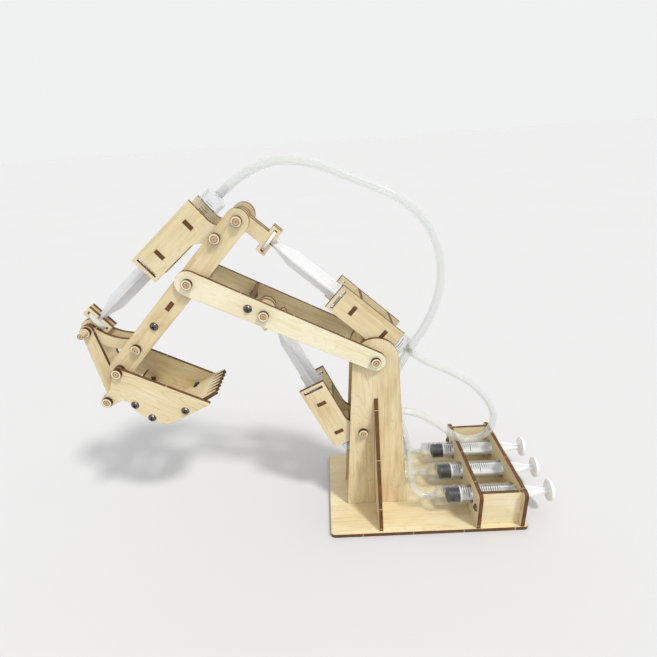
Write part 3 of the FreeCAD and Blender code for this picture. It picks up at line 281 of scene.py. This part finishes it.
# ------------------------------------------------------------------ plastics
def clear_barrel(name, start, heading, mark_way, lanes=False):
    """Clear syringe plastic with printed graduations on its outer wall."""
    g = Graph(name)
    spot, way = g.place()
    if lanes:
        y = g.dot(spot, (0.0, 1.0, 0.0))
        lane = g.math("MULTIPLY", g.math("ROUND", g.math("DIVIDE", y, 28.3)), 28.3)
        spot = g.vector("SUBTRACT", spot, g.join(0.0, lane, 0.0))
    local = g.vector("SUBTRACT", spot, tuple(start))
    side = Vector(heading).cross(Vector(mark_way)).normalized()
    along = g.dot(local, tuple(heading))
    up, across = g.dot(local, tuple(mark_way)), g.dot(local, tuple(side))
    turn = g.math("ABSOLUTE", g.math("ARCTAN2", across, up))

    def ticks(pitch, thin, reach):
        part = g.math("FRACT", g.math("DIVIDE", along, pitch))
        line = g.range(g.math("ABSOLUTE", g.math("SUBTRACT", part, 0.5)), thin * 0.7, thin,
                       1.0, 0.0)
        return g.math("MULTIPLY", line, g.range(turn, reach, reach + 0.02, 1.0, 0.0))

    marks = g.math("MAXIMUM", ticks(1.66, 0.13, 0.34), ticks(8.3, 0.034, 0.80))
    inside = g.math("MULTIPLY", g.range(along, 14.0, 14.3), g.range(along, 57.0, 57.3, 1.0, 0.0))
    wall = g.vector("LENGTH", g.join(up, across, 0.0))
    marks = g.math("MULTIPLY", g.math("MULTIPLY", marks, inside), g.range(wall, 6.9, 7.0))
    marks = g.math("MULTIPLY", marks, g.range(g.dot(way, tuple(mark_way)), 0.2, 0.3))
    smear = g.noise(spot, scale=0.16, detail=3.0)
    clear = g.see_through(0.03, 0.42, rgb(0.66, 0.68, 0.69), g.range(smear, 0.3, 0.8, 0.05, 0.16),
                          g.bump(g.noise(spot, scale=0.30, detail=1.0), 0.05, 0.0004))
    ink = g.principled(Base_Color=rgb(0.05, 0.05, 0.06), Roughness=0.4)
    return g.surface(g.blend_shaders(g.math("MULTIPLY", marks, 0.92), clear, ink))


def milky_plastic(name, bright=0.93, cover=0.90):
    """Moulded plunger plastic: white, slightly see-through, with soft moulding marks."""
    g = Graph(name)
    spot, _ = g.place()
    marks = g.noise(spot, scale=0.22, detail=4.0, rough=0.6)
    colour = g.mix(g.range(marks, 0.35, 0.75), rgb(bright, bright, bright),
                   rgb(bright * 0.94, bright * 0.955, bright * 0.97))
    skin = g.principled(Base_Color=colour, Roughness=g.range(marks, 0.3, 0.7, 0.24, 0.38),
                        IOR=1.48, Normal=g.bump(marks, 0.06, 0.0003))
    glow = g.tree.nodes.new("ShaderNodeBsdfTranslucent")
    g.feed(glow.inputs["Color"], colour)
    return g.surface(g.blend_shaders(1.0 - cover, skin, glow.outputs[0]))


def rubber(name):
    g = Graph(name)
    spot, _ = g.place()
    dust = g.noise(spot, scale=1.4, detail=4.0, rough=0.65)
    colour = g.mix(g.range(dust, 0.55, 0.85), rgb(0.010, 0.010, 0.012), rgb(0.035, 0.035, 0.04))
    return g.surface(g.principled(
        Base_Color=colour, Roughness=g.range(dust, 0.3, 0.7, 0.28, 0.45),
        Specular_IOR_Level=0.5, Normal=g.bump(dust, 0.12, 0.0002)))


def steel(name):
    """Dark plated screw steel with painted shade in its recesses, and bright where it is worn."""
    g = Graph(name)
    spot, _ = g.place()
    worn = g.noise(spot, scale=0.9, detail=4.0, rough=0.6)
    fine = g.noise(spot, scale=6.0, detail=2.0)
    colour = g.mix(g.range(worn, 0.35, 0.70), rgb(0.22, 0.21, 0.20), rgb(0.055, 0.05, 0.046))
    # painted shade: the colour goes near-black where ambient occlusion finds a recess
    recess_shade_ao = g.tree.nodes.new("ShaderNodeAmbientOcclusion")
    recess_shade_ao.samples = 4
    recess_shade_ao.inputs["Distance"].default_value = 0.0012
    painted_recess_shade = g.range(recess_shade_ao.outputs["AO"], 0.35, 0.85, 1.0, 0.0)
    colour = g.mix(g.math("MULTIPLY", painted_recess_shade, 0.9), colour, rgb(0.012, 0.010, 0.009))
    return g.surface(g.principled(
        Base_Color=colour, Metallic=0.9, Roughness=g.range(worn, 0.3, 0.7, 0.18, 0.38),
        Normal=g.bump(fine, 0.10, 0.0001)))


def tubing(name):
    """Soft see-through hose, whiter towards its two outlines, with faint draw lines."""
    g = Graph(name)
    spot, _ = g.place()
    haze = g.noise(spot, scale=0.10, detail=3.0)
    fine = g.noise(spot, scale=0.9, detail=2.0)
    colour = g.mix(haze, rgb(0.84, 0.845, 0.805), rgb(0.76, 0.77, 0.725))
    return g.surface(g.see_through(0.14, 0.80, colour, g.range(fine, 0.3, 0.7, 0.20, 0.32),
                                   g.bump(fine, 0.06, 0.0003)))


def give(node, material):
    """Put one material on every slot of a CAD node's mesh."""
    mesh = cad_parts[node].data
    if not mesh.materials:
        mesh.materials.append(material)
    for index in range(len(mesh.materials)):
        mesh.materials[index] = material


X, Y, Z = Vector((1, 0, 0)), Vector((0, 1, 0)), Vector((0, 0, 1))
BOOM, STICK, BUCKET = unit(152.5), unit(224.8), unit(-27.6)
BACKS = {"boom": 294.99, "stick": 317.64, "bucket": 38.42}
CORNERS = {"boom": (-54.0, 104.2, -1), "stick": (-19.4, 180.6, 1),
           "bucket": (-151.5, 204.8, 1)}

give("base_plate", plywood("base_wood", Z, X, 0.3, 0.46, 0.50))
give("tower_near_plate", plywood("tower_near_wood", Y, Z, 1.1, 0.60, 0.80))
give("tower_far_plate", plywood("tower_far_wood", Y, Z, 2.3, 0.86, 0.60))
give("tower_ribs", plywood("rib_wood", X, Z, 3.2, 0.70, 0.40))
give("tower_spreader", plywood("spreader_wood", X, Y, 4.1, 0.6, 0.4))
give("box_left_plate", plywood("box_left_wood", X, Y, 5.5, 0.62, 0.40))
give("box_right_plate", plywood("box_right_wood", X, Y, 6.1, 0.66, 0.40))
give("box_front_plate", plywood("box_front_wood", Y, X, 7.4, 0.30, 0.35))
give("box_back_plate", plywood("box_back_wood", Y, X, 8.2, 0.40, 0.30))
give("boom_near_plate", plywood("boom_near_wood", Y, BOOM, 9.7, 0.10, 0.35))
give("boom_far_plate", plywood("boom_far_wood", Y, BOOM, 10.4, 0.62, 0.50))
give("boom_cross_plate", plywood("boom_cross_wood", BOOM, Y, 11.3, 0.6, 0.4))
give("stick_near_plate", plywood("stick_near_wood", Y, STICK, 12.6, 0.66, 0.50))
give("stick_far_plate", plywood("stick_far_wood", Y, STICK, 13.1, 0.7, 0.5))
give("stick_cross_plate", plywood("stick_cross_wood", Y.cross(STICK), Y, 14.9, 0.6, 0.4))
give("bucket_near_plate", plywood("bucket_near_wood", Y, BUCKET, 15.2, 0.42, 0.90))
give("bucket_far_plate", plywood("bucket_far_wood", Y, BUCKET, 16.8, 0.5, 0.7))
give("bucket_lip_plate", plywood("lip_wood", unit(-27.6 + 53.2 + 90), Y, 17.7, 0.55, 0.4))
give("bucket_belly_plate", plywood("belly_wood", unit(-27.6 - 2.0 + 90), Y, 18.3, 0.6, 0.4))
give("bucket_back_plate", plywood("back_wood", unit(-27.6 - 38.9 + 90), Y, 19.6, 0.6, 0.4))
give("rocker_plates", plywood("rocker_wood", Y, unit(160.0), 20.5, 0.6, 0.4))
give("link_plates", plywood("link_wood", Y, unit(-81.0), 21.9, 0.55, 0.5))
for index, (name, back) in enumerate(BACKS.items()):
    way = unit(back)
    give(name + "_housing_sides",
         plywood(name + "_side_wood", Y, way, 22.4 + index * 1.3, 0.56 - 0.05 * index, 0.5))
    give(name + "_housing_frames",
         plywood(name + "_frame_wood", way, Y, 26.2 + index * 1.7, 0.6, 0.3))
    give(name + "_clevis",
         plywood(name + "_clevis_wood", Y, way.cross(Y), 31.5 + index * 2.1, 0.5, 0.3))

give("tower_pins", pins("tower_pin_wood", [(0, 128), (-9.6, 70)]))
give("boom_pins", pins("boom_pin_wood", [(-72.11, 165.54), (-117.71, 189.27)], 0.3))
give("stick_pins", pins("stick_pin_wood", [(-81.94, 224.79), (-96.47, 215.58),
                                           (-161.13, 146.15), (-175.68, 131.71)], 0.6))
give("bucket_pin", pins("bucket_pin_wood", [(-187.60, 110.41)], 0.9))
give("rocker_pin", pins("rocker_pin_wood", [(-194.8, 158.4)], 1.2))

METAL = steel("screw_steel")
for node in ("frame_bolts", "boom_bolts", "stick_bolts", "bucket_bolts"):
    give(node, METAL)
BLACK = rubber("seal_rubber")
MILKY, WHITE = milky_plastic("plunger_plastic", 0.90, 0.52), milky_plastic("bright_plastic", 0.95, 0.75)
for name, back in BACKS.items():
    x, z, side = CORNERS[name]
    way = unit(back)
    inward = Y.cross(way) * side
    start = Vector((x, 0, z)) + inward * 9.5 + way * 4.2
    give(name + "_barrel", clear_barrel(name + "_clear", start, way, -Y))
    give(name + "_plunger", WHITE if name == "stick" else MILKY)
    give(name + "_seal", BLACK)
tilted = Vector((0, -0.35, 0.94)).normalized()
give("control_barrels", clear_barrel("control_clear", (103.9, 0, 17.7), -X, tilted, True))
for lane in "123":
    give("control_plunger_" + lane, WHITE)
    give("control_seal_" + lane, BLACK)

# --------------------------------------------------------------------- hoses
HOSE_WALL, HOSE_BORE, PITCH, HAND_Z, HAND_ROOT = 2.75, 1.8, 28.3, 17.7, 41.7


def nozzle(name):
    """Where a ram's nozzle leaves its barrel, and a point straight ahead of it."""
    x, z, side = CORNERS[name]
    way = unit(BACKS[name])
    root = Vector((x, 0, z)) + Y.cross(way) * side * 9.5 + way * 66.4
    ahead = root + way * 14.0
    return [tuple(root), tuple(ahead)]


ROUTES = {
    "bucket_hose": nozzle("bucket") + [
        (-59.0, -1.5, 257.5), (-33.0, -3.0, 253.5), (-9.0, -4.5, 242.5),
        (14.0, -6.5, 233.5), (33.5, -9.0, 217.5), (42.5, -10.8, 197.0),
        (43.5, -11.0, 174.0), (36.0, -10.9, 151.0), (22.5, -10.4, 130.5),
        (12.5, -10.2, 110.0), (14.5, -10.2, 88.0), (20.5, -10.3, 68.0),
        (25.2, -13.0, 49.0), (24.5, -22.5, 33.0), (27.7, -PITCH, HAND_Z),
        (HAND_ROOT, -PITCH, HAND_Z)],
    "stick_hose": nozzle("stick") + [
        (52.0, 0.0, 110.5), (75.0, 0.8, 96.0), (91.8, 1.2, 73.0), (91.0, 1.0, 55.5),
        (79.2, 0.8, 46.6), (65.8, 0.6, 47.8), (49.5, 0.3, 62.8), (30.0, 0.0, 76.5),
        (10.0, 0.0, 76.8), (-2.0, 0.0, 65.0), (-2.2, 0.0, 48.0), (4.5, 0.0, 32.5),
        (14.8, 0.0, 21.0), (28.0, 0.0, HAND_Z), (HAND_ROOT, 0.0, HAND_Z)],
    "boom_hose": nozzle("boom") + [
        (-3.5, 4.0, 21.8), (9.5, 9.3, 15.0), (23.0, 8.6, 22.2), (29.3, 14.5, 34.5),
        (23.0, 23.5, 45.0), (11.5, 28.5, 43.5), (6.5, 29.5, 31.5), (12.0, 28.8, 20.3),
        (27.0, PITCH, HAND_Z), (HAND_ROOT, PITCH, HAND_Z)],
}


def centreline(name):
    """Points along the smooth line that a hose's route controls, in metres."""
    curve = bpy.data.curves.new(name + "_line", "CURVE")
    curve.dimensions = "3D"
    curve.resolution_u = 10
    spline = curve.splines.new("NURBS")
    points = ROUTES[name]
    spline.points.add(len(points) - 1)
    for point, (x, y, z) in zip(spline.points, points):
        point.co = (x * MM, y * MM, z * MM, 1.0)
    spline.order_u = 3
    spline.use_endpoint_u = True
    holder = bpy.data.objects.new(name + "_line", curve)
    bpy.context.collection.objects.link(holder)
    bpy.context.view_layer.update()
    mesh = bpy.data.meshes.new_from_object(holder)
    line = [vertex.co.copy() for vertex in mesh.vertices]
    bpy.data.objects.remove(holder)
    return line


def rings_along(line):
    """A pair of side directions at each point, carried along without twisting."""
    frames, side = [], None
    for index, spot in enumerate(line):
        before, after = line[max(index - 1, 0)], line[min(index + 1, len(line) - 1)]
        way = (after - before).normalized()
        side = Y.copy() if side is None else side
        side = (side - way * side.dot(way)).normalized()
        frames.append((spot, side.copy(), way.cross(side)))
    return frames


def hose_piece(name, frames, material, capped):
    """A hollow tube round part of a centreline, closed at the ends named in capped."""
    count, last = 28, len(frames) - 1
    vertices, faces = [], []
    for spot, side, up in frames:
        for radius in (HOSE_WALL * MM, HOSE_BORE * MM):
            for k in range(count):
                turn = 2 * math.pi * k / count
                vertices.append(spot + (side * math.cos(turn) + up * math.sin(turn)) * radius)
    stride = count * 2
    for k in range(count):
        after = (k + 1) % count
        for i in range(last):
            a, b = i * stride + k, i * stride + after
            faces.append((a, b, b + stride, a + stride))
            a, b = a + count, b + count
            faces.append((b, a, a + stride, b + stride))
        if "start" in capped:
            faces.append((after, k, k + count, after + count))
        if "end" in capped:
            a, b = last * stride + k, last * stride + after
            faces.append((a, b, b + count, a + count))
    mesh = bpy.data.meshes.new(name)
    mesh.from_pydata([tuple(v) for v in vertices], [], faces)
    mesh.materials.append(material)
    for polygon in mesh.polygons:
        polygon.use_smooth = True
    piece = bpy.data.objects.new(name, mesh)
    bpy.context.collection.objects.link(piece)
    return piece


HOSE = tubing("hose_plastic")
SPLITS = {
    "bucket_hose": [("bucket_housing", "stick"), ("stick", "boom"), ("boom", "base")],
    "stick_hose": [("stick_housing", "boom"), ("boom", "base")],
    "boom_hose": [("boom_housing", "base")],
}
SHARES = {"bucket_hose": (0.0, 0.12, 0.60, 1.0), "stick_hose": (0.0, 0.2, 1.0),
          "boom_hose": (0.0, 1.0)}
for name, pairs in SPLITS.items():
    frames = rings_along(centreline(name))
    cuts = [round(share * (len(frames) - 1)) for share in SHARES[name]]
    for index, (near, far) in enumerate(pairs):
        part = frames[cuts[index]:cuts[index + 1] + 1]
        capped = ["start"] * (index == 0) + ["end"] * (index == len(pairs) - 1)
        piece = hose_piece("%s_%d" % (name, index + 1), part, HOSE, capped)
        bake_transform(piece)
        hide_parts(name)

# --------------------------------------------------------- floor, light, view
def backdrop(name, colour):
    """Plain matt floor paint with the faintest unevenness."""
    g = Graph(name)
    spot, _ = g.place()
    grey = g.noise(spot, scale=0.004, detail=3.0)
    paint = g.mix(g.range(grey, 0.3, 0.7), colour, rgb(*[c * 0.985 for c in colour[:3]]))
    return g.surface(g.principled(Base_Color=paint, Roughness=0.6, Specular_IOR_Level=0.1))


bpy.ops.mesh.primitive_plane_add(size=60.0, location=(0, 0, -0.0002))
floor = bpy.context.object
floor.name = "floor"
floor.data.materials.append(backdrop("floor_paint", rgb(0.628, 0.628, 0.632)))

world = bpy.data.worlds.new("studio")
world.use_nodes = True
world.node_tree.nodes["Background"].inputs[0].default_value = (0.875, 0.877, 0.88, 1)
world.node_tree.nodes["Background"].inputs[1].default_value = 1.0
scene.world = world

lamp = bpy.data.lights.new("key", "SUN")
lamp.energy, lamp.angle, lamp.color = 2.05, math.radians(8.0), (1.0, 0.985, 0.96)
key = bpy.data.objects.new("key", lamp)
bpy.context.collection.objects.link(key)
key.rotation_euler = Vector((-0.42, 0.42, -0.80)).to_track_quat("-Z", "Y").to_euler()

eye = bpy.data.cameras.new("view")
viewer = bpy.data.objects.new("view", eye)
bpy.context.collection.objects.link(viewer)
yaw, pitch, roll = -0.0367, 0.457, -0.071
ahead = Vector((math.sin(yaw) * math.cos(pitch), math.cos(yaw) * math.cos(pitch),
                -math.sin(pitch)))
right = Vector((math.cos(yaw), -math.sin(yaw), 0))
above = right.cross(ahead)
turned_right = right * math.cos(roll) + above * math.sin(roll)
turned_up = above * math.cos(roll) - right * math.sin(roll)
rotation = Matrix((turned_right, turned_up, -ahead)).transposed().to_4x4()
viewer.matrix_world = Matrix.Translation(Vector((-28.47, -312.69, 267.37)) * MM) @ rotation
eye.sensor_width, eye.lens = 36.0, 26.22
eye.shift_x, eye.shift_y = 0.0153, 0.0658
eye.clip_start, eye.clip_end = 0.01, 30.0
scene.camera = viewer
scene.view_settings.view_transform = "Standard"
